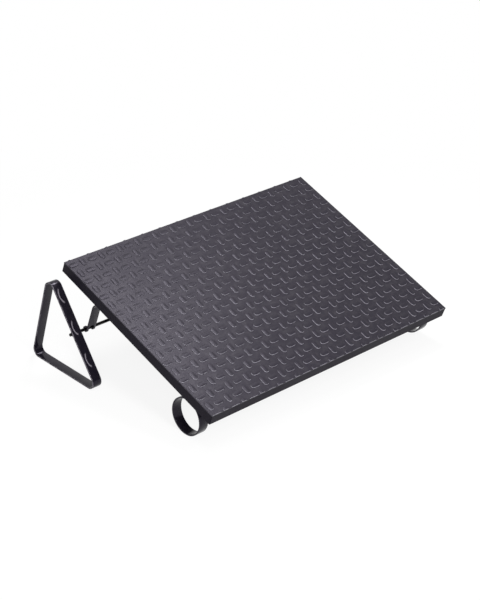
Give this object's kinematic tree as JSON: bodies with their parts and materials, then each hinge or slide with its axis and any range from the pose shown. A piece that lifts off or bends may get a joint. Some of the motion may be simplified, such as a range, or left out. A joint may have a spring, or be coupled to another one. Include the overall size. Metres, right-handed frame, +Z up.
{
  "type": "footrest",
  "caption": "Tilted rectangular footrest board with a studded rubber mat, ring feet at the front and a swinging pair of triangle legs on a cross rod at the rear.",
  "frame": {"origin": "on the floor, under the middle of the footrest's outline", "axes": "+X to the sitter's right along the board's width, +Y from the front edge to the rear, +Z up"},
  "size_m": [0.558, 0.3908, 0.1768],
  "materials": {
    "panel_black": "black melamine faced board, satin",
    "edging_black": "black edging strip, satin",
    "mat_rubber": "dark grey moulded rubber with oblong studs, soft sheen",
    "bar_enamel": "gloss black enamel on bent flat bar",
    "steel_black": "blackened steel, semi gloss"
  },
  "bodies": {
    "board": {"board_panel": "panel_black", "tread_mat": "mat_rubber", "edge_band_front": "edging_black", "edge_band_rear": "edging_black", "edge_band_left": "edging_black", "edge_band_right": "edging_black", "left_hoop_foot": "bar_enamel", "left_hoop_screw_outer": "steel_black", "left_hoop_screw_inner": "steel_black", "left_hanger": "bar_enamel", "left_hanger_screw_front": "steel_black", "left_hanger_screw_rear": "steel_black", "right_hoop_foot": "bar_enamel", "right_hoop_screw_outer": "steel_black", "right_hoop_screw_inner": "steel_black", "right_hanger": "bar_enamel", "right_hanger_screw_front": "steel_black", "right_hanger_screw_rear": "steel_black"},
    "legs": {"cross_rod": "steel_black", "left_triangle_leg": "bar_enamel", "right_triangle_leg": "bar_enamel"}
  },
  "joints": [
    {"name": "leg_swing", "type": "hinge", "parent": "board", "child": "legs", "pos_m": [0, 0.0986, 0.07663], "axis": [1, 0, 0], "continuous": true}
  ]
}
